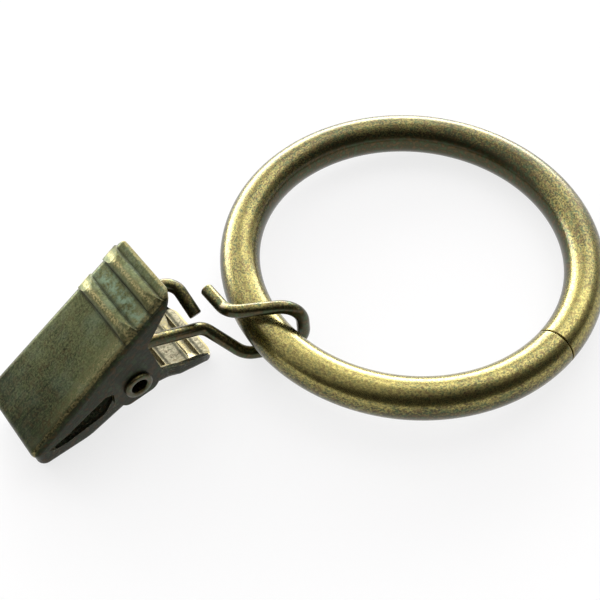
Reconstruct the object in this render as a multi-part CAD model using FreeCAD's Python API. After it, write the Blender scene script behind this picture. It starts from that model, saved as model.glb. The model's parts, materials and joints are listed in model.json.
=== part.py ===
import FreeCAD, Part
import math
import os
from FreeCAD import Placement, Rotation, Vector

# Curtain ring with a spring clip, lying on a flat surface. Millimetres, +Z up.
# The origin is the centre of the ring.

# ring
ring_bore_d = 38.0
tube_d = 5.0
tube_wall = 0.6
seam_gap = 0.25
seam_angle = -42.0
eye_angle = 216.0

# wire link
wire_d = 1.6
eye_gap = 0.3
arm_spacing = 5.4
cross_ahead = 2.6
cross_up = 2.7
far_arm_back = 10.4
far_arm_up = 2.8
far_end_up = 0.3
near_knee_back = 3.0
near_knee_up = 2.5
near_arm_back = 10.6
near_arm_drop = 1.5
pivot_to_tube = 16.15
eye_offset = 8.7
eye_lead = 1.3
eye_under = 2.0
eye_over = 1.1
tail_lead = 2.5
tail_back = 13.05
tail_near = 4.0
tail_end_near = 0.5
tail_up = 1.8
cross_bend = 1.0
arm_bend = 2.0
knee_bend = 4.0
eye_bend = 3.0
end_break = 0.2

# clip
sheet = 0.5
jaw_gap = 0.2
mouth_gap = 0.1
lip_drop = 0.75
bend_r = 0.9
nose_w = 11.5
rear_w = 10.4
clip_yaw = 38.2
plate_angle = 29.8
plate_length = 23.9
plate_to_pivot = 6.45
lever_angle = 11.6
nose_reach = 14.0
lever_reach = 10.4
lever_w = 10.2
flare_from = 4.0
pivot_height = 5.6

# pressed ridges on both levers, placed from the lever's end
ridge_places = (2.3, 6.6)
ridge_w = 2.1
ridge_h = 0.6
ridge_margin = 0.15
ridge_slope = 2.0

# hollow rivet
barrel_d = 2.6
barrel_wall = 0.3
rim_d = 3.5
rim_h = 0.4
running_gap = 0.06
rim_gap = 0.12

# torsion spring
spring_wire_d = 0.6
coil_gap = 0.15
coil_pitch = 0.66
coil_turns = 3
spring_clear = 0.05

ring_r = (ring_bore_d + tube_d) / 2
tube_r = tube_d / 2
wire_r = wire_d / 2
barrel_r = barrel_d / 2
spring_r = spring_wire_d / 2
eye_reach = tube_r + eye_gap + wire_r
arm = arm_spacing / 2


def turned(angle, length=1.0):
    """Vector in the side view at an angle from the rearward direction."""
    return Vector(math.cos(math.radians(angle)), math.sin(math.radians(angle)), 0) * length


def rounded(corners, closed=False):
    """Edges of a path of straight runs, with each corner (point, radius) rounded by a tangent arc."""
    count = len(corners)
    legs = []
    for i, (point, radius) in enumerate(corners):
        if radius == 0 or (not closed and i in (0, count - 1)):
            legs.append((point, None, point))
            continue
        back = (corners[i - 1][0] - point).normalize()
        ahead = (corners[(i + 1) % count][0] - point).normalize()
        half = back.getAngle(ahead) / 2
        middle = point + (back + ahead).normalize() * (radius / math.sin(half) - radius)
        reach = radius / math.tan(half)
        legs.append((point + back * reach, middle, point + ahead * reach))
    edges = []
    for i, (start, middle, end) in enumerate(legs):
        if middle:
            edges.append(Part.Arc(start, middle, end).toShape())
        following = legs[(i + 1) % count][0]
        if (closed or i < count - 1) and end.distanceToPoint(following) > 1e-6:
            edges.append(Part.makeLine(end, following))
    return edges


def prism(corners, width):
    """Side outline drawn across a width, centred on the side view's plane."""
    face = Part.Face(Part.Wire(rounded(corners, closed=True)))
    solid = face.extrude(Vector(0, 0, width))
    solid.translate(Vector(0, 0, -width / 2))
    return solid


def plan_prism(half_plan, inset=0.0):
    """Outline seen from above, drawn up and down, from (rearward, half width, radius) along one side."""
    near = [(Vector(x, 0, z - inset), radius) for x, z, radius in half_plan]
    far = [(Vector(x, 0, inset - z), radius) for x, z, radius in reversed(half_plan)]
    face = Part.Face(Part.Wire(rounded(near + far, closed=True)))
    solid = face.extrude(Vector(0, 8 * plate_to_pivot, 0))
    solid.translate(Vector(0, -4 * plate_to_pivot, 0))
    return solid


def beside(spine, distance):
    """A path parallel to the side view path, a distance to its right."""
    shifted = []
    for i, (point, radius) in enumerate(spine):
        normals = []
        for a, b in ((i - 1, i), (i, i + 1)):
            if a >= 0 and b < len(spine):
                run = (spine[b][0] - spine[a][0]).normalize()
                normals.append(Vector(run.y, -run.x, 0))
        bisector = sum(normals[1:], normals[0]).normalize()
        moved = point + bisector * (distance / bisector.dot(normals[0]))
        if 0 < i < len(spine) - 1:
            before = spine[i][0] - spine[i - 1][0]
            after = spine[i + 1][0] - spine[i][0]
            turns_right = before.cross(after).z < 0
            radius = radius - distance if turns_right else radius + distance
        shifted.append((moved, radius))
    return shifted


def bent_sheet(spine, wall_edge, half_plan, run_out=20):
    """Channel of bent sheet. The spine is its outer face, with the inside on its right."""
    inside = beside(spine, sheet)
    first_run = (spine[0][0] - spine[1][0]).normalize() * run_out
    last_run = (spine[-1][0] - spine[-2][0]).normalize() * run_out
    first = inside[0][0] + first_run
    last = inside[-1][0] + last_run
    hollow = [(first, 0)] + inside[1:-1] + [(last, 0), (last + first_run, 0)]
    outer = prism(spine + wall_edge, 2 * nose_w).common(plan_prism(half_plan))
    inner = prism(hollow, 2 * nose_w).common(plan_prism(half_plan, sheet))
    outer = round_long_edges(outer, spine, bend_r)
    inner = round_long_edges(inner, hollow[:-1], bend_r - sheet)
    return outer.cut(inner)


def round_long_edges(solid, spine, radius):
    """Round the edges that run along the spine at both sides of a channel."""
    line = Part.Wire(rounded(spine))
    along = []
    for edge in solid.Edges:
        middle = edge.valueAt((edge.FirstParameter + edge.LastParameter) / 2)
        shadow = Part.Vertex(middle.x, middle.y, 0)
        if abs(middle.z) > nose_w / 4 and shadow.distToShape(line)[0] < 1e-3:
            along.append(edge)
    return solid.makeFillet(radius, along)


def ridge_bar(foot, inward, outward, radius, half_length):
    """Round bar across a lever, as high as a ridge above its foot, sloping down to points at both ends."""
    across = Vector(0, 0, 1)
    centre = foot + outward * (ridge_h - radius)
    bar = Part.makeCylinder(radius, 2 * half_length, centre - across * half_length, across)
    crest = across * (half_length - ridge_slope)
    end = across * half_length
    top = outward * ridge_h
    low = outward * (-2 * radius)
    offsets = [low - end, -end, top - crest, top + crest, end, low + end, low - end]
    roof = Part.makePolygon([foot + offset for offset in offsets])
    block = Part.Face(roof).extrude(inward * (4 * radius))
    block.translate(inward * (-2 * radius))
    return bar.common(block)


def with_ridges(jaw, lever_end, inward, outward, width):
    """Press the two ridges into a lever, with their hollows on the inside."""
    crest_r = ((ridge_w / 2) ** 2 + ridge_h ** 2) / (2 * ridge_h)
    half_length = width / 2 - ridge_margin
    for place in ridge_places:
        foot = lever_end + inward * place
        inside = foot - outward * sheet
        corner = Vector(-2 * crest_r, -2 * crest_r, -width / 2)
        below = Part.makeBox(4 * crest_r, 2 * crest_r, width, corner)
        below.Placement = Placement(inside, Rotation(Vector(0, 1, 0), outward))
        jaw = jaw.fuse(ridge_bar(foot, inward, outward, crest_r, half_length).cut(below))
        jaw = jaw.cut(ridge_bar(inside, inward, outward, crest_r - sheet, half_length - sheet))
    return jaw


def bent_wire(edges, radius):
    """Round wire along straight runs and arcs."""
    pieces = []
    for edge in edges:
        start = edge.valueAt(edge.FirstParameter)
        along = edge.tangentAt(edge.FirstParameter)
        if isinstance(edge.Curve, Part.Line):
            pieces.append(Part.makeCylinder(radius, edge.Length, start, along))
        else:
            section = Part.Face(Part.Wire(Part.makeCircle(radius, start, along)))
            sweep = math.degrees(edge.Length / edge.Curve.Radius)
            pieces.append(section.revolve(edge.Curve.Center, edge.Curve.Axis, sweep))
    return pieces[0].multiFuse(pieces[1:]).removeSplitter()


# Layout. The ring leans on the wire under its inner half, and touches the surface opposite the eye.
lift = math.asin((wire_d + eye_gap) / (2 * ring_r - tube_r / 2))
floor_z = -tube_r - ring_r * math.sin(lift)
eye_out = Vector(math.cos(math.radians(eye_angle)), math.sin(math.radians(eye_angle)), 0)
lean = Rotation(Vector(eye_out.y, -eye_out.x, 0), math.degrees(lift))


def round_tube(arc, out, up):
    """Point by the ring's tube: along the ring from the eye, out from the tube's centre, and up."""
    angle = math.radians(eye_angle) + arc / ring_r
    flat = Vector(math.cos(angle), math.sin(angle), 0) * (ring_r + out)
    return lean.multVec(flat + Vector(0, 0, up))


# The clip is drawn in a side view: x rearward, y up, z to the near side, with the pivot at 0.
rearward = Rotation(Vector(0, 0, 1), clip_yaw).multVec(Vector(1, 0, 0))
nearward = rearward.cross(Vector(0, 0, 1))
eye_centre = round_tube(0, 0, 0)
pivot = eye_centre - rearward * pivot_to_tube - nearward * eye_offset
pivot.z = floor_z + pivot_height
clip_place = Placement(pivot, Rotation(Vector(0, 0, 1), clip_yaw).multiply(Rotation(Vector(1, 0, 0), 90)))


def on_clip(rear, near, up):
    return clip_place.multVec(Vector(rear, up, near))


# Ring: hollow tube with a narrow butt seam.
discs = []
for radius in (tube_r, tube_r - tube_wall):
    rim = Part.makeCircle(radius, Vector(ring_r, 0, 0), Vector(0, 1, 0))
    discs.append(Part.Face(Part.Wire(rim)))
section = discs[0].cut(discs[1]).Faces[0]
seam_turn = math.degrees(seam_gap / ring_r)
ring = section.revolve(Vector(0, 0, 0), Vector(0, 0, 1), 360 - seam_turn)
ring.rotate(Vector(0, 0, 0), Vector(0, 0, 1), seam_angle + seam_turn / 2)
ring.Placement = Placement(Vector(0, 0, 0), lean).multiply(ring.Placement)

# Wire link: from the cut end at the far arm, round the pivot, to the eye and its tail.
side_reach = eye_reach + eye_gap
link_path = [
    (on_clip(far_arm_back, arm - wire_r, far_end_up), 0),
    (on_clip(far_arm_back, -arm, far_arm_up), arm_bend),
    (on_clip(-cross_ahead, -arm, cross_up), cross_bend),
    (on_clip(-cross_ahead, arm, cross_up), cross_bend),
    (on_clip(near_knee_back, arm, near_knee_up), knee_bend),
    (on_clip(near_arm_back, arm, -near_arm_drop), arm_bend),
    (round_tube(-eye_lead, eye_reach - wire_r, -eye_reach), eye_bend),
    (round_tube(eye_under, -side_reach, -eye_reach), eye_bend),
    (round_tube(eye_over, -side_reach, eye_reach), eye_bend),
    (round_tube(-tail_lead, eye_reach - eye_gap, eye_reach), arm_bend),
    (on_clip(tail_back, tail_near, tail_up), arm_bend),
    (on_clip(tail_back, tail_end_near, tail_up), 0),
]
wire_link = bent_wire(rounded(link_path), wire_r)
cut_edges = []
for edge in wire_link.Edges:
    for point in (link_path[0][0], link_path[-1][0]):
        if edge.isClosed() and edge.CenterOfMass.distanceToPoint(point) < 1e-3:
            cut_edges.append(edge)
wire_link = wire_link.makeFillet(end_break, cut_edges)

# Upper jaw: the outer channel, with its nose turned down and its ears over the pivot.
plate_along = turned(plate_angle)
plate_out = turned(plate_angle + 90)
nose_rise = (plate_to_pivot - nose_reach * plate_along.y) / plate_along.x
plate_nose = Vector(-nose_reach, nose_rise, 0)
plate_end = plate_nose + plate_along * plate_length
upper_lip = plate_nose + Vector(0.1, -lip_drop, 0)
upper_spine = [(upper_lip, 0), (plate_nose, 1.0), (plate_end, 0)]
upper_edge = [
    (plate_end - plate_out * sheet, 0),
    (Vector(2.4, 5.3, 0), 0.6),
    (Vector(3.4, -1.0, 0), 0.8),
    (Vector(1.9, -2.8, 0), 1.2),
    (Vector(-1.9, -2.8, 0), 1.2),
    (Vector(-3.3, -0.9, 0), 0.8),
    (Vector(-3.0, 1.0, 0), 0.4),
    (Vector(-4.0, 1.4, 0), 0.6),
    (upper_lip + Vector(4.3, 0.635, 0), 3.0),
    (upper_lip + Vector(1.6, 0.035, 0), 0.2),
]
taper = (nose_w - rear_w) / 2 / (plate_end.x + nose_reach)
pivot_w = nose_w - 2 * taper * nose_reach


def upper_plan(end_x, radius):
    """Upper jaw seen from above, narrower towards the rear, with round corners at its lever's end."""
    ends = ((-2 * nose_reach, 0), (end_x, radius))
    return [(x, nose_w / 2 - taper * (x + nose_reach), r) for x, r in ends]


upper_jaw = bent_sheet(upper_spine, upper_edge, upper_plan(2 * nose_reach, 0))
upper_jaw = with_ridges(upper_jaw, plate_end, -plate_along, plate_out, rear_w)
upper_jaw = upper_jaw.common(plan_prism(upper_plan(plate_end.x + sheet / 4, 1.6)))

# Lower jaw: the inner channel. It lies on its flat nose and on the ridge by its lever's end.
lower_w = pivot_w - 2 * sheet - 2 * jaw_gap
belly = Vector(0.2, -3.25, 0)
lever_along = turned(-lever_angle)
lever_out = turned(-lever_angle - 90)
lever_end = belly + lever_along * ((lever_reach - belly.x) / lever_along.x)
nose_x = 0.45 - nose_reach
lower_lip = Vector(nose_x, upper_lip.y - mouth_gap, 0)
lower_spine = [
    (lever_end, 0),
    (belly, 4.0),
    (Vector(-7.0, -pivot_height, 0), 5.0),
    (Vector(nose_x, -pivot_height, 0), 1.1),
    (lower_lip, 0),
]
lower_edge = [
    (lower_lip + Vector(sheet, 0, 0), 0),
    (lower_lip + Vector(1.05, -1.065, 0), 0.5),
    (lower_lip + Vector(2.25, -1.965, 0), 0.8),
    (lower_lip + Vector(3.85, -2.115, 0), 2.0),
    (Vector(-4.6, -2.8, 0), 1.5),
    (Vector(-3.1, -1.0, 0), 1.0),
    (Vector(-2.2, 2.7, 0), 1.5),
    (Vector(2.2, 2.7, 0), 1.5),
    (Vector(3.2, -1.2, 0), 0.6),
    (Vector(8.4, -3.0, 0), 1.5),
    (Vector(lever_end.x - 0.6, -4.0, 0), 0.4),
    (lever_end - lever_out * sheet, 0),
]


def lower_plan(end_x, radius):
    """Lower jaw seen from above: narrow inside the upper jaw, then flared to the lever's width."""
    return [
        (-2 * nose_reach, lower_w / 2, 0),
        (flare_from, lower_w / 2, 1.5),
        (flare_from + 1.6, lever_w / 2, 1.5),
        (end_x, lever_w / 2, radius),
    ]


lower_jaw = bent_sheet(lower_spine, lower_edge, lower_plan(2 * nose_reach, 0))
lower_jaw = with_ridges(lower_jaw, lever_end, -lever_along, lever_out, lever_w)
lower_jaw = lower_jaw.common(plan_prism(lower_plan(lever_end.x, 2.0)))

# Pivot: the rivet is tight in the lower jaw, and the upper jaw turns on it.
across = Vector(0, 0, 1)
upper_jaw = upper_jaw.cut(Part.makeCylinder(barrel_r + running_gap, 2 * nose_w, -across * nose_w, across))
lower_jaw = lower_jaw.cut(Part.makeCylinder(barrel_r, 2 * nose_w, -across * nose_w, across))
rim_seat = pivot_w / 2 + rim_gap
rim_top = rim_seat + rim_h
bore_r = barrel_r - barrel_wall
rivet_half = [
    (Vector(bore_r, 0, -rim_top), 0.25),
    (Vector(rim_d / 2, 0, -rim_top), 0.3),
    (Vector(rim_d / 2, 0, -rim_seat), 0),
    (Vector(barrel_r, 0, -rim_seat), 0),
    (Vector(barrel_r, 0, rim_seat), 0),
    (Vector(rim_d / 2, 0, rim_seat), 0),
    (Vector(rim_d / 2, 0, rim_top), 0.3),
    (Vector(bore_r, 0, rim_top), 0.25),
]
pivot_rivet = Part.Face(Part.Wire(rounded(rivet_half, closed=True))).revolve(Vector(0, 0, 0), across, 360)

# Torsion spring: a coil round the rivet, with a straight leg against the inside of each lever.
coil_r = barrel_r + coil_gap + spring_r


def leg_tilt(face_distance, length):
    """Angle between a lever's inner face and a leg that leaves the coil and ends against that face."""
    reach = math.hypot(coil_r, length)
    return math.degrees(math.asin((face_distance - spring_r) / reach) - math.atan(coil_r / length))


upper_leg = 8.5
lower_leg = 4.8
upper_leg_angle = plate_angle + leg_tilt(plate_to_pivot - sheet - spring_clear, upper_leg)
lower_leg_angle = -lever_angle - leg_tilt(belly.dot(lever_out) - sheet, lower_leg)
coil_start = upper_leg_angle + 90
coil_angle = lower_leg_angle - 90 - coil_start + 360 * (coil_turns + 1)
coil_length = coil_pitch * coil_angle / 360
climb = math.atan(coil_pitch / (2 * math.pi * coil_r))
helix = Part.makeHelix(coil_pitch, coil_length, coil_r)
helix.rotate(Vector(0, 0, 0), across, coil_start)
helix.translate(across * (-coil_length / 2))


def coil_end(angle, z):
    """Point and direction of the coil's wire at an angle."""
    along = turned(angle + 90) * math.cos(climb) + across * math.sin(climb)
    return turned(angle, coil_r) + across * z, along


start, start_along = coil_end(coil_start, -coil_length / 2)
end, end_along = coil_end(coil_start + coil_angle, coil_length / 2)
coil_section = Part.Wire(Part.makeCircle(spring_r, start, start_along))
torsion_spring = Part.Wire(helix).makePipeShell([coil_section], True, True)
torsion_spring = torsion_spring.fuse(Part.makeCylinder(spring_r, upper_leg, start, -start_along))
torsion_spring = torsion_spring.fuse(Part.makeCylinder(spring_r, lower_leg, end, end_along))

for piece in (upper_jaw, lower_jaw, pivot_rivet, torsion_spring):
    piece.Placement = clip_place.multiply(piece.Placement)

nodes = {
    "ring": ring,
    "wire_link": wire_link,
    "upper_jaw": upper_jaw,
    "lower_jaw": lower_jaw,
    "pivot_rivet": pivot_rivet,
    "torsion_spring": torsion_spring,
}
os.makedirs("parts", exist_ok=True)
for name, shape in nodes.items():
    shape.exportStep("parts/" + name + ".step")
    print(name, shape.isValid(), len(shape.Solids), round(shape.Volume, 2), shape.BoundBox)
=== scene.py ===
"""Curtain ring with a wire link and a spring clip, in antique brass."""
import json
import math
from typing import NamedTuple

import bmesh
import bpy
import numpy as np
from bpy.props import FloatProperty, FloatVectorProperty, IntProperty, PointerProperty
from mathutils import Matrix, Vector


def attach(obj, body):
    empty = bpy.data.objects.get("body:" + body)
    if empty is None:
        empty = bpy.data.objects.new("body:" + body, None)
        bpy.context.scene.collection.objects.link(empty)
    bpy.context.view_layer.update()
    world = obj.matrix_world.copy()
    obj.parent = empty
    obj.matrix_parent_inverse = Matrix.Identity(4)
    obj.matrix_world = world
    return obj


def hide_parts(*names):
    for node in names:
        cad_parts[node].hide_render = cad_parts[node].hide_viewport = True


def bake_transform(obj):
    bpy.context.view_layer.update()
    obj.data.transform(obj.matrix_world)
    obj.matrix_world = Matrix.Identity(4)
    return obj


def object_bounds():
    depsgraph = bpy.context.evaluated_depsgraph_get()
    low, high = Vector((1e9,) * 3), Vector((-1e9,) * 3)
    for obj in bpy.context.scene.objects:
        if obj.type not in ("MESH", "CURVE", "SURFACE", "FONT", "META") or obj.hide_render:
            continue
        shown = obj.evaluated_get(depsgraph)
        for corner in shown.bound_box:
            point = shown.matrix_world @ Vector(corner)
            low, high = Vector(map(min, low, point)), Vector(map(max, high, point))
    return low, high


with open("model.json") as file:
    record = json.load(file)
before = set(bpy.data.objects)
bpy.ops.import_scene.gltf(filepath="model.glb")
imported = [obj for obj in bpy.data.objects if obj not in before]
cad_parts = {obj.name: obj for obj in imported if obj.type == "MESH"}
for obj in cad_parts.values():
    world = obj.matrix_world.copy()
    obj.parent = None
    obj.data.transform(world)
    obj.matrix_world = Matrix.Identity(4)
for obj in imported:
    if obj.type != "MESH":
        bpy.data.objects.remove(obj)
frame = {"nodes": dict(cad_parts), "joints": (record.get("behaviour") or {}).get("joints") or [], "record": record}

bl_info = {
    "name": "Curtain Ring with Clip",
    "version": (1, 0, 0),
    "blender": (4, 5, 0),
    "location": "3D View > Sidebar > Curtain Ring",
    "description": "Builds an antique brass curtain ring with a wire link and a spring clip",
    "category": "Add Mesh",
}

CAD_BOX = [list(corner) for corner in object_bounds()]
MM = 0.001
UP = Vector((0, 0, 1))

MOUNTS = {mount["name"]: mount for mount in frame["record"]["mounts"]}
JOINTS = {joint["name"]: joint for joint in frame["joints"]}
ROD_HOLE = MOUNTS["rod_hole"]
RING_TURN = UP.rotation_difference(Vector(ROD_HOLE["axis"])).to_matrix()
PIVOT = Vector(JOINTS["clip_open"]["pos_m"])
FARWARD = Vector(JOINTS["clip_open"]["axis"]).normalized()
REARWARD = FARWARD.cross(UP)

# Directions of the light, and the camera of the photograph.
WINDOW = Vector((-0.3, 0.8, 0.52)).normalized()
UPPER_WINDOW = Vector((0.36, 0.55, 0.76)).normalized()
BEHIND = Vector((-0.25, 0.97, 0.0)).normalized()
KEY_AZIMUTH = math.radians(-35.0)
KEY_RISE = math.radians(50.0)
CAMERA_PLACE = Vector((-8.72, -78.5, 99.03)) * MM
CAMERA_AZIMUTH = math.radians(-4.15)
CAMERA_RISE = math.radians(-54.14)
CAMERA_ROLL = math.radians(4.39)
CAMERA_NEAREST = 5 * MM
CAMERA_FARTHEST = 10.0
SENSOR_WIDTH_MM = 36.0

# Sockets of the Mix node when it mixes colours.
MIX_FACTOR = 0
MIX_FIRST = 6
MIX_SECOND = 7
MIX_RESULT = 2

WELD_DISTANCE = 1e-7
SHARP_ANGLE = math.radians(32)


class RingSizes(bpy.types.PropertyGroup):
    hole_radius: FloatProperty(
        name="Hole radius",
        description="Radius of the hole that the rod passes through",
        default=ROD_HOLE["dims"]["r_mm"] * MM,
        unit="LENGTH",
    )
    tube_diameter: FloatProperty(
        name="Tube diameter",
        description="Outside diameter of the ring's tube",
        default=ROD_HOLE["dims"]["length_mm"] * MM,
        unit="LENGTH",
    )
    seam_angle: FloatProperty(
        name="Seam angle",
        description="Where the two ends of the tube meet, from the +X side",
        default=math.radians(-42.0),
        subtype="ANGLE",
    )
    seam_gap: FloatProperty(
        name="Seam gap",
        description="Gap between the two ends of the tube",
        default=0.22 * MM,
        unit="LENGTH",
    )
    seam_depth: FloatProperty(
        name="Seam depth",
        description="How far in the two ends of the tube meet",
        default=0.28 * MM,
        unit="LENGTH",
    )
    seam_lip: FloatProperty(
        name="Seam lip",
        description="Rounding of the tube's cut ends",
        default=0.08 * MM,
        unit="LENGTH",
    )
    steps_round: IntProperty(name="Steps round the ring", description="Sections in one turn", default=320)
    steps_tube: IntProperty(name="Steps round the tube", description="Sides of the tube", default=56)


class BrassFinish(bpy.types.PropertyGroup):
    bright: FloatVectorProperty(
        name="Bright brass",
        description="Brass where the tarnish is thin",
        default=(0.47, 0.395, 0.12),
        subtype="COLOR",
        min=0,
        max=1,
    )
    tarnish: FloatVectorProperty(
        name="Tarnish",
        description="Dark olive brown of the antique finish",
        default=(0.05, 0.046, 0.018),
        subtype="COLOR",
        min=0,
        max=1,
    )
    warm: FloatVectorProperty(
        name="Warm tarnish",
        description="Reddish brown of the tarnish in places",
        default=(0.095, 0.063, 0.024),
        subtype="COLOR",
        min=0,
        max=1,
    )
    cool: FloatVectorProperty(
        name="Cool tarnish",
        description="Dark green of the tarnish in places",
        default=(0.05, 0.072, 0.03),
        subtype="COLOR",
        min=0,
        max=1,
    )
    sheet_bright: FloatVectorProperty(
        name="Sheet brass",
        description="Lighter tone of the clip's brushed sheet",
        default=(0.152, 0.162, 0.069),
        subtype="COLOR",
        min=0,
        max=1,
    )
    lever_bright: FloatVectorProperty(
        name="Lever brass",
        description="Lighter tone of the lower jaw's sheet",
        default=(0.42, 0.38, 0.26),
        subtype="COLOR",
        min=0,
        max=1,
    )
    sheet_tarnish: FloatVectorProperty(
        name="Sheet tarnish",
        description="Darker tone of the clip's brushed sheet",
        default=(0.016, 0.018, 0.01),
        subtype="COLOR",
        min=0,
        max=1,
    )
    verdigris: FloatVectorProperty(
        name="Verdigris",
        description="Green-blue tint that collects in hollows",
        default=(0.20, 0.29, 0.20),
        subtype="COLOR",
        min=0,
        max=1,
    )
    rubbed: FloatVectorProperty(
        name="Rubbed edge",
        description="Bare brass on rubbed edges",
        default=(0.78, 0.63, 0.30),
        subtype="COLOR",
        min=0,
        max=1,
    )
    # Also the colour of the painted highlight on the clip's near bend.
    sheet_rub_and_sheen: FloatVectorProperty(
        name="Rubbed sheet",
        description="Brass of the clip's rubbed bends and ridges",
        default=(0.50, 0.42, 0.19),
        subtype="COLOR",
        min=0,
        max=1,
    )
    spring: FloatVectorProperty(
        name="Spring wire",
        description="Drawn steel of the spring",
        default=(0.42, 0.40, 0.36),
        subtype="COLOR",
        min=0,
        max=1,
    )


class StageSettings(bpy.types.PropertyGroup):
    floor: FloatVectorProperty(
        name="Floor",
        description="Colour of the floor",
        default=(0.93, 0.915, 0.92),
        subtype="COLOR",
        min=0,
        max=1,
    )
    floor_radius: FloatProperty(
        name="Floor radius",
        description="Radius of the floor disc",
        default=2.5,
        unit="LENGTH",
    )
    key_strength: FloatProperty(name="Key strength", description="Strength of the key light", default=0.3)
    key_spread: FloatProperty(
        name="Key spread",
        description="Angle across the key light, which sets how soft it is",
        default=math.radians(35.0),
        subtype="ANGLE",
    )
    window: FloatProperty(name="Window", description="Strength of the window behind the object", default=0.95)
    low_window: FloatProperty(
        name="Low window",
        description="Strength of the brighter strip of the window near the floor",
        default=11.0,
    )
    upper_window: FloatProperty(
        name="Upper window",
        description="Strength of a smaller window high up at the right",
        default=2.4,
    )
    room: FloatProperty(name="Room", description="Strength of the light from elsewhere", default=0.06)
    floor_glow: FloatProperty(
        name="Floor glow",
        description="Share of plain white in the floor as the camera sees it",
        default=0.78,
        subtype="FACTOR",
        min=0,
        max=1,
    )
    lens: FloatProperty(
        name="Focal length",
        description="Focal length on a 36 mm sensor",
        default=60.0,
        unit="CAMERA",
    )


def clean_mesh(name, bm):
    """A new mesh from the edited one, smooth except at sharp edges."""
    mesh = bpy.data.meshes.new(name)
    bm.normal_update()
    bm.to_mesh(mesh)
    bm.free()
    for spare in ("custom_normal", "sharp_face", "sharp_edge"):
        if spare in mesh.attributes:
            mesh.attributes.remove(mesh.attributes[spare])
    mesh.shade_smooth()
    mesh.set_sharp_from_angle(angle=SHARP_ANGLE)
    return mesh


def add_piece(name, mesh, material):
    """A new object for one piece."""
    mesh.materials.clear()
    mesh.materials.append(material)
    obj = bpy.data.objects.new(name, mesh)
    bpy.context.scene.collection.objects.link(obj)
    return obj


def node_copy(node):
    """The shape of a CAD node, with its seams welded."""
    bm = bmesh.new()
    bm.from_mesh(frame["nodes"][node].data)
    bmesh.ops.remove_doubles(bm, verts=bm.verts, dist=WELD_DISTANCE)
    return bm


def store(mesh, name, values, kind="FLOAT"):
    """Keep a value or a vector at each point of a mesh."""
    attribute = mesh.attributes.new(name, kind, "POINT")
    field = "value" if kind == "FLOAT" else "vector"
    attribute.data.foreach_set(field, np.asarray(values, np.float32).ravel())


def store_grain(mesh, axes):
    """Keep each point's place in millimetres: along the grain, across the clip, and out of the sheet."""
    points = np.array([vertex.co for vertex in mesh.vertices]) - np.array(PIVOT)
    store(mesh, "grain", points @ np.array(axes).T / MM, "FLOAT_VECTOR")


def new_group(name, inputs, outputs):
    """A shader node group with named sockets."""
    group = bpy.data.node_groups.new(name, "ShaderNodeTree")
    for label, kind, default in inputs:
        socket = group.interface.new_socket(label, in_out="INPUT", socket_type=kind)
        if default is not None:
            socket.default_value = default
    for label, kind in outputs:
        group.interface.new_socket(label, in_out="OUTPUT", socket_type=kind)
    return group, group.nodes.new("NodeGroupInput"), group.nodes.new("NodeGroupOutput")


def math_node(tree, operation, first, second=None, clamp=False):
    """The result of a sum on values or sockets."""
    node = tree.nodes.new("ShaderNodeMath")
    node.operation = operation
    node.use_clamp = clamp
    for socket, value in zip(node.inputs, (first, second)):
        if isinstance(value, bpy.types.NodeSocket):
            tree.links.new(value, socket)
        elif value is not None:
            socket.default_value = value
    return node.outputs[0]


def ranged(tree, value, low, high, to_low=0.0, to_high=1.0):
    """Stretch a value from one range to another, with soft ends."""
    node = tree.nodes.new("ShaderNodeMapRange")
    node.interpolation_type = "SMOOTHSTEP"
    tree.links.new(value, node.inputs["Value"])
    for label, number in (("From Min", low), ("From Max", high), ("To Min", to_low), ("To Max", to_high)):
        node.inputs[label].default_value = number
    return node.outputs["Result"]


def noise(tree, vector, scale, detail, roughness=0.55):
    """Cloudy noise around 0.5, at a scale that may be a number or a socket."""
    node = tree.nodes.new("ShaderNodeTexNoise")
    tree.links.new(vector, node.inputs["Vector"])
    if isinstance(scale, bpy.types.NodeSocket):
        tree.links.new(scale, node.inputs["Scale"])
    else:
        node.inputs["Scale"].default_value = scale
    node.inputs["Detail"].default_value = detail
    node.inputs["Roughness"].default_value = roughness
    return node.outputs["Fac"]


def opaque(colour):
    return (*colour, 1.0)


def mixed(tree, factor, first, second):
    """From the first colour to the second as the factor goes from 0 to 1."""
    node = tree.nodes.new("ShaderNodeMix")
    node.data_type = "RGBA"
    tree.links.new(factor, node.inputs[MIX_FACTOR])
    for socket, colour in ((MIX_FIRST, first), (MIX_SECOND, second)):
        if isinstance(colour, bpy.types.NodeSocket):
            tree.links.new(colour, node.inputs[socket])
        else:
            node.inputs[socket].default_value = opaque(colour)
    return node.outputs[MIX_RESULT]


def stretched(tree, vector, scale):
    """A place with each of its axes scaled."""
    node = tree.nodes.new("ShaderNodeMapping")
    tree.links.new(vector, node.inputs["Vector"])
    node.inputs["Scale"].default_value = scale
    return node.outputs["Vector"]


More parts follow.
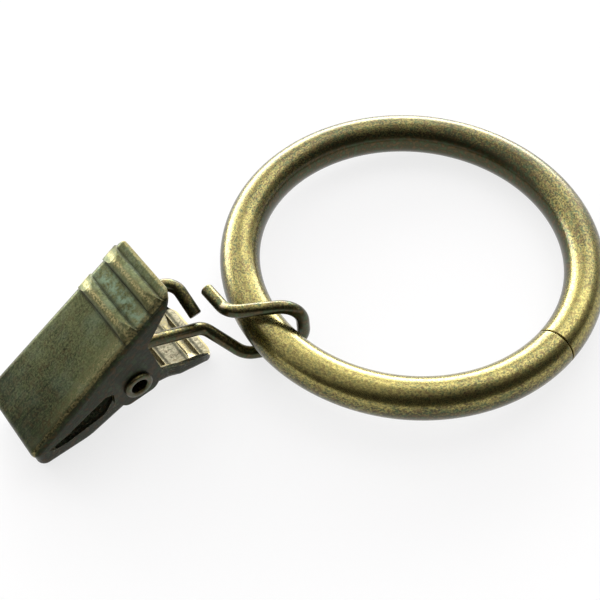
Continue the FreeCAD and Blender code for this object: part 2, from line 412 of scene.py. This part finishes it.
def tarnish_group():
    """Cloudy, speckled tarnish over brass, browner or greener in places, darker still by the darkening input,
    which mostly carries painted shade, and rubbed off by the wear input, which on the clip's sheet carries a
    painted highlight as well.
    """
    group, taken, given = new_group(
        "Brass tarnish",
        (
            ("Place", "NodeSocketVector", None),
            ("Bright", "NodeSocketColor", None),
            ("Tarnish", "NodeSocketColor", None),
            ("Warm", "NodeSocketColor", None),
            ("Cool", "NodeSocketColor", None),
            ("Rubbed", "NodeSocketColor", None),
            ("Depth", "NodeSocketFloat", 0.0),
            ("Wear And Sheen", "NodeSocketFloat", 0.0),
            ("Cloud Scale", "NodeSocketFloat", 0.2),
            ("Speckle Scale", "NodeSocketFloat", 3.0),
        ),
        (("Color", "NodeSocketColor"), ("Tarnish And Shade Mask", "NodeSocketFloat"), ("Height", "NodeSocketFloat")),
    )
    cloud_share = 0.4
    speckle_share = 0.6
    hue_scale_share = 0.4
    least_wear = 0.45
    warm_tint = 0.5
    cool_tint = 0.4
    place = taken.outputs["Place"]
    clouds = noise(group, place, taken.outputs["Cloud Scale"], 5.0, 0.6)
    speckle = noise(group, place, taken.outputs["Speckle Scale"], 3.0, 0.7)
    hue_scale = math_node(group, "MULTIPLY", taken.outputs["Speckle Scale"], hue_scale_share)
    hue = noise(group, place, hue_scale, 3.0)
    patches = math_node(group, "MULTIPLY", ranged(group, clouds, 0.3, 0.7), cloud_share)
    grains = ranged(group, speckle, 0.36, 0.64)
    spread = math_node(group, "ADD", patches, math_node(group, "MULTIPLY", grains, speckle_share))
    spread = math_node(group, "ADD", spread, taken.outputs["Depth"], clamp=True)
    wear = math_node(group, "ADD", grains, least_wear)
    ragged = math_node(group, "MULTIPLY", taken.outputs["Wear And Sheen"], wear)
    rub_and_sheen = ranged(group, ragged, 0.15, 0.75)
    warm = ranged(group, hue, 0.5, 0.66)
    cool = ranged(group, hue, 0.5, 0.34)
    dark = mixed(group, warm, taken.outputs["Tarnish"], taken.outputs["Warm"])
    dark = mixed(group, cool, dark, taken.outputs["Cool"])
    faint_warm = math_node(group, "MULTIPLY", warm, warm_tint)
    faint_cool = math_node(group, "MULTIPLY", cool, cool_tint)
    light = mixed(group, faint_warm, taken.outputs["Bright"], taken.outputs["Warm"])
    light = mixed(group, faint_cool, light, taken.outputs["Cool"])
    colour = mixed(group, spread, light, dark)
    colour = mixed(group, rub_and_sheen, colour, taken.outputs["Rubbed"])
    group.links.new(colour, given.inputs["Color"])
    group.links.new(math_node(group, "SUBTRACT", spread, rub_and_sheen, clamp=True), given.inputs["Tarnish And Shade Mask"])
    group.links.new(speckle, given.inputs["Height"])
    return group


def brushed_group():
    """Fine scratches along the grain of brushed sheet."""
    group, taken, given = new_group(
        "Brushed lines",
        (("Place", "NodeSocketVector", None), ("Line Scale", "NodeSocketFloat", 5.0)),
        (("Lines", "NodeSocketFloat"),),
    )
    along_grain = 0.06
    drawn_out = stretched(group, taken.outputs["Place"], (along_grain, 1.0, 1.0))
    lines = noise(group, drawn_out, taken.outputs["Line Scale"], 4.0, 0.75)
    group.links.new(ranged(group, lines, 0.3, 0.7), given.inputs["Lines"])
    return group


def use_group(tree, group, links, values):
    """Place a group in a material, with its own links and values."""
    node = tree.nodes.new("ShaderNodeGroup")
    node.node_tree = group
    for label, socket in links.items():
        tree.links.new(socket, node.inputs[label])
    for label, value in values.items():
        node.inputs[label].default_value = value
    return node


def shared_group(name, build):
    """The node group of this name, built the first time it is asked for."""
    return bpy.data.node_groups.get(name) or build()


def new_material(name):
    """A new material with its node tree and its shader."""
    material = bpy.data.materials.new(name)
    material.use_nodes = True
    tree = material.node_tree
    return material, tree, tree.nodes["Principled BSDF"]


def point_value(tree, name, output):
    """A value that is kept at the points of the mesh."""
    node = tree.nodes.new("ShaderNodeAttribute")
    node.attribute_name = name
    return node.outputs[output]


def bumped(tree, shader, height, strength, distance):
    """Raise the shader's surface by a height."""
    node = tree.nodes.new("ShaderNodeBump")
    node.inputs["Strength"].default_value = strength
    node.inputs["Distance"].default_value = distance
    tree.links.new(height, node.inputs["Height"])
    tree.links.new(node.outputs["Normal"], shader.inputs["Normal"])


def edge_wear(tree, radius):
    """How close a point is to an edge, from how much rounding it would turn the surface."""
    rounded = tree.nodes.new("ShaderNodeBevel")
    rounded.samples = 6
    rounded.inputs["Radius"].default_value = radius
    surface = tree.nodes.new("ShaderNodeNewGeometry")
    turn = tree.nodes.new("ShaderNodeVectorMath")
    turn.operation = "DOT_PRODUCT"
    tree.links.new(rounded.outputs["Normal"], turn.inputs[0])
    tree.links.new(surface.outputs["Normal"], turn.inputs[1])
    return ranged(tree, turn.outputs["Value"], 1.0, 0.8)


def object_place(tree):
    """A point's place in millimetres, from the object's own coordinates."""
    source = tree.nodes.new("ShaderNodeTexCoord")
    return stretched(tree, source.outputs["Object"], (1 / MM, 1 / MM, 1 / MM))


def tube_place(tree):
    """A point's place along the ring's tube, in millimetres, with the marks drawn out along it."""
    along_tube = 0.75
    return stretched(tree, point_value(tree, "grain", "Vector"), (along_tube, 1.0, 1.0))


def tube_painted_shade(tree):
    """Painted shade: darker towards the tube's lower side, and darker on the far half of the ring than on the near
    half, which is painted lighter.
    """
    axes = tree.nodes.new("ShaderNodeSeparateXYZ")
    tree.links.new(point_value(tree, "grain", "Vector"), axes.inputs[0])
    # Painted shade towards the tube's lower side.
    underside_shade = ranged(tree, axes.outputs["Z"], 2.2, 0.3, 0.05, 0.85)
    halves = tree.nodes.new("ShaderNodeSeparateXYZ")
    tree.links.new(object_place(tree), halves.inputs[0])
    # Painted shade on the far half of the ring, and a painted lighter near half.
    far_half_shade = ranged(tree, halves.outputs["Y"], -18.0, 18.0, -0.4, 0.4)
    return math_node(tree, "ADD", underside_shade, far_half_shade, clamp=True)


def wire_painted_shade(tree):
    """Painted shade: darker where the wire and the rivet face down than where they face up."""
    surface = tree.nodes.new("ShaderNodeNewGeometry")
    axes = tree.nodes.new("ShaderNodeSeparateXYZ")
    tree.links.new(surface.outputs["Normal"], axes.inputs[0])
    # Painted shade where the surface faces down.
    return ranged(tree, axes.outputs["Z"], 1.0, 0.4, 0.3, 0.88)


def seam_wear(tree):
    """Wear at the lips of the seam, as the tube's mesh keeps it."""
    return point_value(tree, "wear_and_sheen", "Fac")


def fine_edge_wear(tree):
    """Wear on the small edges of the wire and the rivet."""
    return edge_wear(tree, 0.2 * MM)


def polished_brass(name, finish, place, wear_and_sheen, depth, cloud_scale, speckle_scale):
    """Antique brass with a soft polish, for the tube, the wire and the rivet."""
    material, tree, shader = new_material(name)
    # The depth argument darkens the brass with painted shade.
    tarnish = use_group(
        tree,
        shared_group("Brass tarnish", tarnish_group),
        {"Place": place(tree), "Wear And Sheen": wear_and_sheen(tree), "Depth": depth(tree)},
        {
            "Bright": opaque(finish.bright),
            "Tarnish": opaque(finish.tarnish),
            "Warm": opaque(finish.warm),
            "Cool": opaque(finish.cool),
            "Rubbed": opaque(finish.rubbed),
            "Cloud Scale": cloud_scale,
            "Speckle Scale": speckle_scale,
        },
    )
    tree.links.new(tarnish.outputs["Color"], shader.inputs["Base Color"])
    # Rougher where tarnish or painted shade darkens the brass.
    rough = ranged(tree, tarnish.outputs["Tarnish And Shade Mask"], 0.0, 1.0, 0.2, 0.36)
    tree.links.new(rough, shader.inputs["Roughness"])
    shader.inputs["Metallic"].default_value = 1.0
    shader.inputs["Coat Weight"].default_value = 0.4
    shader.inputs["Coat Roughness"].default_value = 0.12
    bumped(tree, shader, tarnish.outputs["Height"], 0.25, 0.03 * MM)
    return material


class SheetLayout(NamedTuple):
    """Where a jaw's ridges, marks of wear, painted highlight and painted shade lie, in millimetres from the pivot.
    """

    # Lever: its slope in degrees, the ridges and the end along it, and its width.
    tilt: float
    ridges: tuple
    end: float
    half_width: float
    taper: float
    # Outer face: its height above the pivot, which way it looks, and where the sides flare out.
    face: float
    outward: int
    flare: float
    flare_from: float
    flare_to: float
    # Sides on which the ridges run out: -1 for the near side, 0 for both.
    run_out_sides: int
    # Darkening: where it begins and ends along the lever and how strong it gets, which on the lower jaw is painted
    # shade inside the clip near the pivot; and the share of verdigris in the hollow.
    dark_from: float
    dark_to: float
    dark_share: float
    verdigris: float


NEAR_SIDE = -1
BOTH_SIDES = 0
UPPER_SHEET = SheetLayout(
    tilt=29.8,
    ridges=(9.16, 4.86),
    end=11.46,
    half_width=5.46,
    taper=0.023,
    face=6.45,
    outward=1,
    flare=0.0,
    flare_from=0.0,
    flare_to=1.0,
    run_out_sides=NEAR_SIDE,
    dark_from=4.0,
    dark_to=-12.0,
    dark_share=0.55,
    verdigris=0.75,
)
LOWER_SHEET = SheetLayout(
    tilt=-11.6,
    ridges=(8.96, 4.66),
    end=11.26,
    half_width=4.68,
    taper=0.0,
    face=-3.144,
    outward=-1,
    flare=0.42,
    flare_from=4.7,
    flare_to=6.4,
    run_out_sides=BOTH_SIDES,
    dark_from=3.6,
    dark_to=2.4,
    dark_share=1.0,
    verdigris=0.0,
)

# The pressed ridges and the bends of the sheet, in millimetres.
RIDGE_HALF = 1.05
RIDGE_HEIGHT = 0.6
RIDGE_MARGIN = 0.2
RIDGE_RUN_OUT = 2.6
RUN_OUT_CUTS = 12
LEAST_PROUD = 0.04
BEND_RADIUS = 0.9


def jaw_axes(layout):
    """Directions along a jaw's lever, across it and out of its sheet."""
    tilt = math.radians(layout.tilt)
    along = REARWARD * math.cos(tilt) + UP * math.sin(tilt)
    return along, FARWARD, along.cross(FARWARD)


def proud_of_bend(layout, place):
    """How far a point stands out of the jaw's face and its rounded sides, and how far in from the side."""
    along, across, out = place
    flare = min(max((along - layout.flare_from) / (layout.flare_to - layout.flare_from), 0.0), 1.0)
    half_width = layout.half_width - layout.taper * along + layout.flare * flare
    inset = half_width - abs(across)
    reach = min(max(BEND_RADIUS - inset, 0.0), BEND_RADIUS)
    drop = BEND_RADIUS - math.sqrt(BEND_RADIUS**2 - reach**2)
    return layout.outward * (out - layout.face) + drop, inset


def run_out_ridges(bm, layout):
    """Let the pressed ridges run out in the rounded sides of the sheet."""
    axes = jaw_axes(layout)

    def place_of(vertex):
        offset = (vertex.co - PIVOT) / MM
        return [offset.dot(axis) for axis in axes]

    def on_ridge(vertex):
        place = place_of(vertex)
        along, across, _ = place
        proud, _ = proud_of_bend(layout, place)
        near = min(abs(along - ridge) for ridge in layout.ridges) < RIDGE_HALF + RIDGE_MARGIN
        stands_out = LEAST_PROUD < proud < RIDGE_HEIGHT + BEND_RADIUS
        return near and stands_out and across * layout.run_out_sides >= 0

    faces = [face for face in bm.faces if any(on_ridge(vertex) for vertex in face.verts)]
    edges = {edge for face in faces for edge in face.edges}
    verts = {vertex for face in faces for vertex in face.verts}
    geometry = [*verts, *edges, *faces]
    widest = layout.half_width + layout.flare
    for step in range(1, RUN_OUT_CUTS + 1):
        inset = RIDGE_RUN_OUT * step / RUN_OUT_CUTS
        for side in (-1, 1):
            middle = PIVOT + FARWARD * (side * (widest - inset) * MM)
            geometry = bmesh.ops.bisect_plane(bm, geom=geometry, plane_co=middle, plane_no=FARWARD)["geom"]
    for vertex in bm.verts:
        if on_ridge(vertex):
            proud, inset = proud_of_bend(layout, place_of(vertex))
            fade = min(max(inset / RIDGE_RUN_OUT, 0.0), 1.0)
            excess = max(proud - RIDGE_HEIGHT * fade, 0.0)
            vertex.co -= axes[2] * (layout.outward * excess * MM)


def near_line(tree, value, line, half_width):
    """1 on a line across the grain, fading to 0 at a distance from it."""
    away = math_node(tree, "ABSOLUTE", math_node(tree, "SUBTRACT", value, line))
    return ranged(tree, away, 0.0, half_width, 1.0, 0.0)


def strongest(tree, masks):
    """The largest of several masks at each point."""
    top = masks[0]
    for mask in masks[1:]:
        top = math_node(tree, "MAXIMUM", top, mask)
    return top


def sheet_masks(tree, place, layout):
    """Wear and a painted highlight on the near bend, painted shade at the foot of each ridge, darkening (painted
    shade on the side walls, and darker towards the pivot and nose), and the hollow between the ridges of one jaw.
    """
    edge_radius = 0.22 * MM
    # The shares of wear on the near bend and the near half also paint a highlight there.
    bend_wear_and_sheen = 0.7
    side_wear_and_sheen = 0.35
    ridge_wear = 0.5
    end_hollow = 0.5
    darkened_wear = 0.25
    axes = tree.nodes.new("ShaderNodeSeparateXYZ")
    tree.links.new(place, axes.inputs[0])
    along = axes.outputs["X"]
    narrowing = math_node(tree, "MULTIPLY", along, layout.taper)
    side = math_node(tree, "ADD", math_node(tree, "ABSOLUTE", axes.outputs["Y"]), narrowing)
    near_side = math_node(tree, "SUBTRACT", narrowing, axes.outputs["Y"])
    # Lighter along the near bend and over the near half of the plate: partly rubbed wear, partly a painted
    # highlight.
    bend = near_line(tree, near_side, layout.half_width - 0.5, 0.45)
    rub_and_sheen = ranged(tree, near_side, 0.5, layout.half_width)
    wear_and_sheen = [
        edge_wear(tree, edge_radius),
        math_node(tree, "MULTIPLY", bend, bend_wear_and_sheen),
        math_node(tree, "MULTIPLY", rub_and_sheen, side_wear_and_sheen),
        near_line(tree, along, layout.end, 0.6),
    ]
    crease_shades = []
    for ridge in layout.ridges:
        wear_and_sheen.append(math_node(tree, "MULTIPLY", near_line(tree, along, ridge, 0.8), ridge_wear))
        # Painted shade: dark lines at the foot of each ridge.
        crease_shades += [near_line(tree, along, ridge + offset, 0.4) for offset in (-RIDGE_HALF, RIDGE_HALF)]
    # Painted shade on the side walls.
    wall_shade = ranged(tree, side, layout.half_width - 0.5, layout.half_width - 0.1)
    flat = math_node(tree, "SUBTRACT", 1.0, wall_shade)
    # Darker along the lever towards the pivot and nose; on the lower jaw this is painted shade inside the clip
    # near the pivot.
    darker_along = ranged(tree, along, layout.dark_from, layout.dark_to, 0.0, layout.dark_share)
    depth = strongest(tree, (wall_shade, darker_along))
    hollow = near_line(tree, along, sum(layout.ridges) / len(layout.ridges), 1.6)
    behind = ranged(tree, along, max(layout.ridges) + RIDGE_HALF, layout.end)
    hollow = math_node(tree, "MAXIMUM", hollow, math_node(tree, "MULTIPLY", behind, end_hollow))
    left_bare = ranged(tree, depth, 0.0, 1.0, 1.0, darkened_wear)
    return (
        math_node(tree, "MULTIPLY", strongest(tree, wear_and_sheen), left_bare),
        strongest(tree, crease_shades),
        depth,
        math_node(tree, "MULTIPLY", hollow, flat),
    )


def brushed_brass(name, finish, sheet, layout):
    """Darker brushed sheet, with rubbed edges and a painted highlight on the near bend, painted shade at the foot
    of each ridge and on the side walls, and verdigris between its ridges.
    """
    darken_share = 0.75
    warm_share = 0.4
    cool_share = 0.5
    scratch_share = 0.35
    crease_shade_share = 0.8
    haze_share = 0.2
    speckle_height = 0.6
    material, tree, shader = new_material(name)
    place = point_value(tree, "grain", "Vector")
    wear_and_sheen, crease_shade, depth, hollow = sheet_masks(tree, place, layout)
    # The darkening passed here paints shade on the side walls, and the wear passed here paints a highlight on the
    # near bend as well.
    tarnish = use_group(
        tree,
        shared_group("Brass tarnish", tarnish_group),
        {"Place": place, "Wear And Sheen": wear_and_sheen, "Depth": math_node(tree, "MULTIPLY", depth, darken_share)},
        {
            "Bright": opaque(sheet),
            "Tarnish": opaque(finish.sheet_tarnish),
            "Warm": opaque(tuple(warm_share * part for part in finish.warm)),
            "Cool": opaque(tuple(cool_share * part for part in finish.cool)),
            "Rubbed": opaque(finish.sheet_rub_and_sheen),
            "Cloud Scale": 0.16,
            "Speckle Scale": 4.0,
        },
    )
    brushed = use_group(
        tree,
        shared_group("Brushed lines", brushed_group),
        {"Place": place},
        {"Line Scale": 4.5},
    )
    lines = brushed.outputs["Lines"]
    thin = math_node(tree, "SUBTRACT", 1.0, depth)
    scratches = math_node(tree, "MULTIPLY", math_node(tree, "MULTIPLY", lines, scratch_share), thin)
    colour = mixed(tree, scratches, tarnish.outputs["Color"], sheet)
    # Painted shade at the foot of each ridge.
    colour = mixed(tree, math_node(tree, "MULTIPLY", crease_shade, crease_shade_share), colour, finish.sheet_tarnish)
    if layout.verdigris:
        patches = ranged(tree, noise(tree, place, 1.1, 4.0, 0.7), 0.4, 0.64)
        green = math_node(tree, "MULTIPLY", math_node(tree, "MULTIPLY", hollow, patches), layout.verdigris)
        haze = ranged(tree, noise(tree, place, 0.4, 5.0, 0.65), 0.45, 0.7, 0.0, haze_share)
        green = math_node(tree, "MAXIMUM", green, math_node(tree, "MULTIPLY", haze, thin))
        colour = mixed(tree, green, colour, finish.verdigris)
    tree.links.new(colour, shader.inputs["Base Color"])
    tree.links.new(ranged(tree, lines, 0.0, 1.0, 0.3, 0.42), shader.inputs["Roughness"])
    shader.inputs["Metallic"].default_value = 1.0
    shader.inputs["Coat Weight"].default_value = 0.06
    shader.inputs["Coat Roughness"].default_value = 0.2
    grains = math_node(tree, "MULTIPLY", tarnish.outputs["Height"], speckle_height)
    height = math_node(tree, "ADD", lines, grains)
    bumped(tree, shader, height, 0.3, 0.03 * MM)
    return material


def drawn_steel(name, finish):
    """Drawn steel wire with a slight mottle."""
    material, tree, shader = new_material(name)
    place = object_place(tree)
    mottle = ranged(tree, noise(tree, place, 2.5, 3.0), 0.3, 0.7)
    dark_share = 0.45
    dark = tuple(dark_share * part for part in finish.spring)
    tree.links.new(mixed(tree, mottle, finish.spring, dark), shader.inputs["Base Color"])
    tree.links.new(ranged(tree, mottle, 0.0, 1.0, 0.28, 0.42), shader.inputs["Roughness"])
    shader.inputs["Metallic"].default_value = 1.0
    bumped(tree, shader, mottle, 0.15, 0.02 * MM)
    return material


def tube_mesh(sizes):
    """The ring's tube, swept from one rounded end to the other, which meet at the seam's bottom."""
    tube = sizes.tube_diameter / 2
    radius = sizes.hole_radius + tube
    sweep = math.tau * radius - sizes.seam_gap
    lip_steps = 6
    lip_wear = 0.25
    wear_reach = 2.5 * sizes.seam_lip
    lips = []
    for step in range(lip_steps + 1):
        turn = math.pi / 2 * step / lip_steps
        place = sizes.seam_lip * (1 - math.cos(turn))
        lips.append((place, tube - sizes.seam_lip * (1 - math.sin(turn))))
    middle = np.linspace(sizes.seam_lip, sweep - sizes.seam_lip, sizes.steps_round)[1:-1]
    half_seam = [(0.0, tube - sizes.seam_depth)] + lips
    rows = half_seam + [(place, tube) for place in middle]
    rows += [(sweep - place, size) for place, size in reversed(half_seam)]
    bm = bmesh.new()
    grain = []
    wear_and_sheen = []
    loops = []
    for place, size in rows:
        angle = sizes.seam_angle + (place + sizes.seam_gap / 2) / radius
        out = Vector((math.cos(angle), math.sin(angle), 0))
        loop = []
        for side in range(sizes.steps_tube):
            turn = math.tau * side / sizes.steps_tube
            across = size * math.cos(turn)
            height = size * math.sin(turn)
            loop.append(bm.verts.new(RING_TURN @ (out * (radius + across) + UP * height)))
            grain.append((place / MM, across / MM, height / MM))
            edge = min(place, sweep - place)
            wear_and_sheen.append(lip_wear * math.exp(-((edge / wear_reach) ** 2)))
        loops.append(loop)
    for first, second in zip(loops, loops[1:] + loops[:1]):
        for side in range(sizes.steps_tube):
            after = (side + 1) % sizes.steps_tube
            bm.faces.new((first[side], second[side], second[after], first[after]))
    bmesh.ops.recalc_face_normals(bm, faces=bm.faces)
    mesh = clean_mesh("ring_tube", bm)
    store(mesh, "grain", grain, "FLOAT_VECTOR")
    store(mesh, "wear_and_sheen", wear_and_sheen)
    return mesh


class RING_OT_tube(bpy.types.Operator):
    """Build the ring's tube with its butt seam"""

    bl_idname = "curtain_ring.tube"
    bl_label = "Ring Tube"

    def execute(self, context):
        finish = context.scene.brass_finish
        material = polished_brass(
            "Antique brass tube",
            finish,
            tube_place,
            seam_wear,
            tube_painted_shade,
            cloud_scale=0.13,
            speckle_scale=5.0,
        )
        obj = add_piece("ring_tube", tube_mesh(context.scene.ring_sizes), material)
        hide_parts("ring")
        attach(obj, "ring")
        return {"FINISHED"}


class RING_OT_wire_link(bpy.types.Operator):
    """Build the bent wire link between the ring and the clip"""

    bl_idname = "curtain_ring.wire_link"
    bl_label = "Wire Link"

    def execute(self, context):
        finish = context.scene.brass_finish
        mesh = clean_mesh("link_wire", node_copy("wire_link"))
        material = polished_brass(
            "Antique brass wire",
            finish,
            object_place,
            fine_edge_wear,
            wire_painted_shade,
            cloud_scale=0.3,
            speckle_scale=4.0,
        )
        obj = add_piece("link_wire", mesh, material)
        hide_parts("wire_link")
        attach(obj, "link")
        return {"FINISHED"}


class RING_OT_clip_jaws(bpy.types.Operator):
    """Build the two pressed sheet jaws of the clip"""

    bl_idname = "curtain_ring.clip_jaws"
    bl_label = "Clip Jaws"

    def execute(self, context):
        finish = context.scene.brass_finish
        jaws = (
            ("clip_upper_jaw", "upper_jaw", "upper_clip", "upper sheet", finish.sheet_bright, UPPER_SHEET),
            ("clip_lower_jaw", "lower_jaw", "lower_clip", "lower sheet", finish.lever_bright, LOWER_SHEET),
        )
        for name, node, body, label, sheet, layout in jaws:
            bm = node_copy(node)
            run_out_ridges(bm, layout)
            mesh = clean_mesh(name, bm)
            store_grain(mesh, jaw_axes(layout))
            obj = add_piece(name, mesh, brushed_brass(f"Antique brass {label}", finish, sheet, layout))
            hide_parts(node)
            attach(obj, body)
        return {"FINISHED"}


class RING_OT_pivot_rivet(bpy.types.Operator):
    """Build the hollow rivet that the jaws turn on"""

    bl_idname = "curtain_ring.pivot_rivet"
    bl_label = "Pivot Rivet"

    def execute(self, context):
        mesh = clean_mesh("clip_rivet", node_copy("pivot_rivet"))
        finish = context.scene.brass_finish
        material = polished_brass(
            "Antique brass rivet",
            finish,
            object_place,
            fine_edge_wear,
            wire_painted_shade,
            cloud_scale=0.4,
            speckle_scale=4.0,
        )
        obj = add_piece("clip_rivet", mesh, material)
        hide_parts("pivot_rivet")
        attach(obj, "lower_clip")
        return {"FINISHED"}


class RING_OT_spring(bpy.types.Operator):
    """Build the torsion spring between the two jaws"""

    bl_idname = "curtain_ring.spring"
    bl_label = "Torsion Spring"

    def execute(self, context):
        mesh = clean_mesh("clip_spring", node_copy("torsion_spring"))
        obj = add_piece("clip_spring", mesh, drawn_steel("Drawn steel wire", context.scene.brass_finish))
        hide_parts("torsion_spring")
        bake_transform(obj)
        return {"FINISHED"}


def direction(azimuth, rise):
    """A direction from its angle off +Y, towards +X, and its angle above the floor."""
    level = math.cos(rise)
    return Vector((math.sin(azimuth) * level, math.cos(azimuth) * level, math.sin(rise)))


def view_rays(tree):
    """Masks of the camera's own rays, and of those that it sees in metal or through glass."""
    path = tree.nodes.new("ShaderNodeLightPath")
    mirrored = math_node(tree, "MAXIMUM", path.outputs["Is Glossy Ray"], path.outputs["Is Transmission Ray"])
    return path.outputs["Is Camera Ray"], mirrored


class RING_OT_stage(bpy.types.Operator):
    """Set up the floor, the light and the camera"""

    bl_idname = "curtain_ring.stage"
    bl_label = "Stage"

    def execute(self, context):
        scene = context.scene
        settings = scene.stage_settings
        self.add_floor(scene, settings)
        self.add_light(scene, settings)
        self.add_camera(scene, settings)
        scene.view_settings.view_transform = "Standard"
        return {"FINISHED"}

    def add_floor(self, scene, settings):
        """A plain disc under the object."""
        floor_sides = 128
        faint_shade = 0.985
        bm = bmesh.new()
        bmesh.ops.create_circle(bm, cap_ends=True, segments=floor_sides, radius=settings.floor_radius)
        mesh = bpy.data.meshes.new("Floor")
        bm.to_mesh(mesh)
        bm.free()
        material, tree, shader = new_material("Floor")
        place = object_place(tree)
        faint = ranged(tree, noise(tree, place, 0.05, 2.0), 0.3, 0.7)
        shade = tuple(faint_shade * part for part in settings.floor)
        tree.links.new(mixed(tree, faint, settings.floor, shade), shader.inputs["Base Color"])
        shader.inputs["Roughness"].default_value = 0.7
        shader.inputs["Specular IOR Level"].default_value = 0.2
        self.brighten_for_view(tree, shader, settings.floor_glow)
        mesh.materials.append(material)
        floor = bpy.data.objects.new("Floor", mesh)
        floor.location.z = CAD_BOX[0][2]
        scene.collection.objects.link(floor)

    def brighten_for_view(self, tree, shader, share):
        """Let the floor look near white to the camera and in reflections, and keep its shadows."""
        camera, mirrored = view_rays(tree)
        seen = math_node(tree, "MAXIMUM", camera, mirrored)
        glow = tree.nodes.new("ShaderNodeEmission")
        blend = tree.nodes.new("ShaderNodeMixShader")
        tree.links.new(math_node(tree, "MULTIPLY", seen, share), blend.inputs["Fac"])
        tree.links.new(shader.outputs["BSDF"], blend.inputs[1])
        tree.links.new(glow.outputs["Emission"], blend.inputs[2])
        tree.links.new(blend.outputs["Shader"], tree.nodes["Material Output"].inputs["Surface"])

    def add_light(self, scene, settings):
        """A soft key light, and a world with windows."""
        lamp = bpy.data.lights.new("Key light", "SUN")
        lamp.energy = settings.key_strength
        lamp.angle = settings.key_spread
        light = bpy.data.objects.new("Key light", lamp)
        shining = -direction(KEY_AZIMUTH, KEY_RISE)
        light.rotation_euler = shining.to_track_quat("-Z", "Y").to_euler()
        scene.collection.objects.link(light)
        scene.world = self.window_world(settings)

    def window_world(self, settings):
        """Soft light from windows behind the object, in a darker room with a white backdrop low down.

        The camera sees white all round. Metal shows the backdrop near the floor, and the windows above it.
        """
        world = bpy.data.worlds.new("Studio")
        world.use_nodes = True
        tree = world.node_tree
        wide = ranged(tree, self.toward(tree, WINDOW), -0.1, 0.8, settings.room, settings.window)
        strip = ranged(tree, self.toward(tree, UP), 0.55, 0.25, 0.0, settings.low_window)
        low = math_node(tree, "MULTIPLY", strip, ranged(tree, self.toward(tree, BEHIND), 0.5, 0.85))
        upper = ranged(tree, self.toward(tree, UPPER_WINDOW), 0.9, 0.99, 0.0, settings.upper_window)
        light = math_node(tree, "ADD", math_node(tree, "ADD", wide, low), upper)
        camera, mirrored = view_rays(tree)
        backdrop = ranged(tree, self.toward(tree, UP), 0.3, 0.15)
        light = math_node(tree, "MAXIMUM", light, math_node(tree, "MULTIPLY", mirrored, backdrop))
        other = math_node(tree, "SUBTRACT", 1.0, camera)
        strength = math_node(tree, "ADD", math_node(tree, "MULTIPLY", light, other), camera)
        background = tree.nodes["Background"]
        background.inputs["Color"].default_value = (1.0, 1.0, 1.0, 1.0)
        tree.links.new(strength, background.inputs["Strength"])
        return world

    def toward(self, tree, target):
        """How nearly a direction of the world points at a target."""
        facing = tree.nodes.new("ShaderNodeVectorMath")
        facing.operation = "DOT_PRODUCT"
        tree.links.new(tree.nodes.new("ShaderNodeTexCoord").outputs["Generated"], facing.inputs[0])
        facing.inputs[1].default_value = target
        return facing.outputs["Value"]

    def add_camera(self, scene, settings):
        """The photograph's point of view."""
        ahead = direction(CAMERA_AZIMUTH, CAMERA_RISE)
        level = Vector((math.cos(CAMERA_AZIMUTH), -math.sin(CAMERA_AZIMUTH), 0))
        below = ahead.cross(level)
        right = level * math.cos(CAMERA_ROLL) + below * math.sin(CAMERA_ROLL)
        down = below * math.cos(CAMERA_ROLL) - level * math.sin(CAMERA_ROLL)
        data = bpy.data.cameras.new("Camera")
        data.lens = settings.lens
        data.sensor_width = SENSOR_WIDTH_MM
        data.clip_start = CAMERA_NEAREST
        data.clip_end = CAMERA_FARTHEST
        camera = bpy.data.objects.new("Camera", data)
        turn = Matrix((right, -down, -ahead)).transposed()
        camera.matrix_world = Matrix.Translation(CAMERA_PLACE) @ turn.to_4x4()
        scene.collection.objects.link(camera)
        scene.camera = camera


class VIEW3D_PT_curtain_ring(bpy.types.Panel):
    """Sizes, colours and build steps of the curtain ring"""

    bl_label = "Curtain Ring"
    bl_idname = "VIEW3D_PT_curtain_ring"
    bl_space_type = "VIEW_3D"
    bl_region_type = "UI"
    bl_category = "Curtain Ring"

    def draw(self, context):
        for settings in (context.scene.ring_sizes, context.scene.brass_finish, context.scene.stage_settings):
            box = self.layout.box()
            for name in settings.bl_rna.properties.keys():
                if name not in ("rna_type", "name"):
                    box.prop(settings, name)
        for operator in BUILD_STEPS:
            self.layout.operator(operator.bl_idname)


BUILD_STEPS = (
    RING_OT_tube,
    RING_OT_wire_link,
    RING_OT_clip_jaws,
    RING_OT_pivot_rivet,
    RING_OT_spring,
    RING_OT_stage,
)
SETTINGS = {"ring_sizes": RingSizes, "brass_finish": BrassFinish, "stage_settings": StageSettings}


def register():
    for group in SETTINGS.values():
        bpy.utils.register_class(group)
    for operator in BUILD_STEPS:
        bpy.utils.register_class(operator)
    bpy.utils.register_class(VIEW3D_PT_curtain_ring)
    for name, group in SETTINGS.items():
        setattr(bpy.types.Scene, name, PointerProperty(type=group))


def unregister():
    for name in SETTINGS:
        delattr(bpy.types.Scene, name)
    bpy.utils.unregister_class(VIEW3D_PT_curtain_ring)
    for operator in reversed(BUILD_STEPS):
        bpy.utils.unregister_class(operator)
    for group in SETTINGS.values():
        bpy.utils.unregister_class(group)


def main():
    register()
    bpy.ops.curtain_ring.tube()
    bpy.ops.curtain_ring.wire_link()
    bpy.ops.curtain_ring.clip_jaws()
    bpy.ops.curtain_ring.pivot_rivet()
    bpy.ops.curtain_ring.spring()
    bpy.ops.curtain_ring.stage()


if __name__ == "__main__":
    main()
